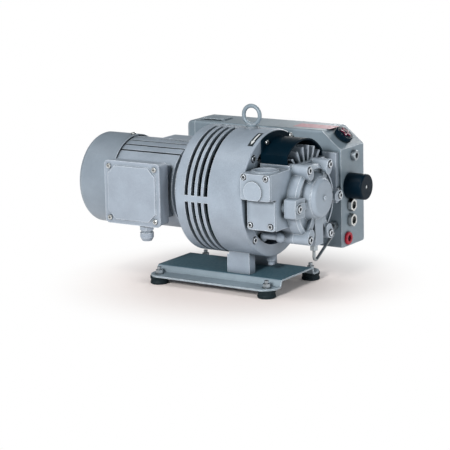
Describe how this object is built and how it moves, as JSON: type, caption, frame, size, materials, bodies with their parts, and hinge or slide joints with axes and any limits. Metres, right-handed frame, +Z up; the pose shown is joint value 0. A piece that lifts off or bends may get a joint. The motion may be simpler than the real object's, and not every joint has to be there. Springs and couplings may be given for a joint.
{
  "type": "rotary vane vacuum pump",
  "caption": "Oil-flooded rotary vane vacuum pump with flanged finned motor, slotted fan housing, side oil separator and a base plate on rubber feet.",
  "frame": {"origin": "on the floor at the centre of the four rubber feet", "axes": "+X along the shaft towards the pump head, +Y towards the oil separator, +Z up"},
  "size_m": [0.51, 0.344, 0.3453],
  "materials": {
    "grey_paint": "hammered satin enamel",
    "black_plastic": "satin",
    "zinc_steel": "bright zinc",
    "machined_steel": "ground",
    "bare_aluminium": "as cast",
    "rubber": "matt",
    "iron": "machined",
    "copper_winding": "varnished",
    "vane_composite": "matt",
    "red_plastic": "gloss",
    "lens": "clear",
    "filter_fleece": "fibre"
  },
  "bodies": {
    "frame": {"base_plate": "grey_paint", "rubber_feet": "rubber", "foot_studs": "zinc_steel", "foot_nuts": "zinc_steel", "fan_housing": "grey_paint", "housing_bolts": "zinc_steel", "motor_flange": "grey_paint", "motor_flange_bolts": "zinc_steel", "motor_frame": "grey_paint", "motor_rear_shield": "grey_paint", "motor_cowl": "grey_paint", "motor_screws": "zinc_steel", "stator_core": "machined_steel", "stator_windings": "copper_winding", "terminal_box": "grey_paint", "terminal_lid": "grey_paint", "terminal_block": "black_plastic", "cable_gland": "bare_aluminium", "pump_cylinder": "grey_paint", "rear_plate": "iron", "head_cover": "grey_paint", "cover_bolts": "zinc_steel", "hub_cap": "grey_paint", "inlet_upper_cover": "grey_paint", "inlet_lower_cover": "grey_paint", "inlet_screws": "zinc_steel", "inlet_spring": "machined_steel", "air_guide": "black_plastic", "air_guide_screws": "zinc_steel", "separator_housing": "grey_paint", "separator_rear_cover": "grey_paint", "exhaust_cover": "grey_paint", "exhaust_filters": "filter_fleece", "top_plug": "zinc_steel", "oil_filter": "black_plastic", "sight_glass_bodies": "bare_aluminium", "sight_glass_lenses": "lens", "drain_plug": "red_plastic", "oil_pipe": "zinc_steel", "pipe_fittings": "zinc_steel", "eyebolt": "zinc_steel", "bearing_outer_rings": "machined_steel"},
    "shaft_train": {"rotor": "iron", "pump_coupling": "bare_aluminium", "coupling_spider": "red_plastic", "motor_coupling": "bare_aluminium", "motor_shaft": "machined_steel", "motor_rotor_core": "bare_aluminium", "motor_fan": "black_plastic", "bearing_inner_rings": "machined_steel"},
    "ball_sets": {"bearing_balls": "machined_steel"},
    "vane_a": {"vane_1": "vane_composite"},
    "vane_b": {"vane_2": "vane_composite"},
    "vane_c": {"vane_3": "vane_composite"},
    "vane_d": {"vane_4": "vane_composite"},
    "suction_valve": {"inlet_valve": "bare_aluminium"},
    "reed_set": {"exhaust_reeds": "machined_steel"},
    "float_arm": {"oil_float": "red_plastic"},
    "cap_seal": {"filler_seal": "rubber"},
    "cap": {"filler_cap": "black_plastic"}
  },
  "joints": [
    {"name": "shaft_spin", "type": "hinge", "parent": "frame", "child": "shaft_train", "pos_m": [0, 0, 0.18], "axis": [1, 0, 0], "continuous": true},
    {"name": "ball_orbit", "type": "hinge", "parent": "frame", "child": "ball_sets", "pos_m": [0, 0, 0.18], "axis": [1, 0, 0], "continuous": true},
    {"name": "vane_a_slide", "type": "slide", "parent": "shaft_train", "child": "vane_a", "axis": [0, 0.7071, 0.7071], "range_m": [0, 0.002]},
    {"name": "vane_b_slide", "type": "slide", "parent": "shaft_train", "child": "vane_b", "axis": [0, -0.7071, 0.7071], "range_m": [0, 0.002]},
    {"name": "vane_c_slide", "type": "slide", "parent": "shaft_train", "child": "vane_c", "axis": [0, 0.7071, 0.7071], "range_m": [-0.0146, 0]},
    {"name": "vane_d_slide", "type": "slide", "parent": "shaft_train", "child": "vane_d", "axis": [0, 0.7071, -0.7071], "range_m": [0, 0.002]},
    {"name": "suction_valve_lift", "type": "slide", "parent": "frame", "child": "suction_valve", "axis": [0, 0, -1], "range_m": [0, 0.008], "deforming": ["inlet_spring"]},
    {"name": "reed_flex", "type": "hinge", "parent": "frame", "child": "reed_set", "pos_m": [0.116, 0.108, 0.219], "axis": [1, 0, 0], "range_deg": [0, 12]},
    {"name": "float_swing", "type": "hinge", "parent": "frame", "child": "float_arm", "pos_m": [0.128, 0.185, 0.122], "axis": [0, 1, 0], "range_deg": [-22, 22]},
    {"name": "filler_cap_lift", "type": "slide", "parent": "frame", "child": "cap_seal", "axis": [0.6347, 0, 0.7727], "range_m": [0, 0.00997]},
    {"name": "filler_cap_turn", "type": "hinge", "parent": "cap_seal", "child": "cap", "pos_m": [0.144, 0.165, 0.26475], "axis": [0.6347, 0, 0.7727], "range_deg": [0, 1980]}
  ],
  "couplings": [
    {"joint": "ball_orbit", "follows": "shaft_spin", "ratio": 0.3969},
    {"joint": "filler_cap_turn", "follows": "filler_cap_lift", "rad_per_m": 3463.7}
  ]
}
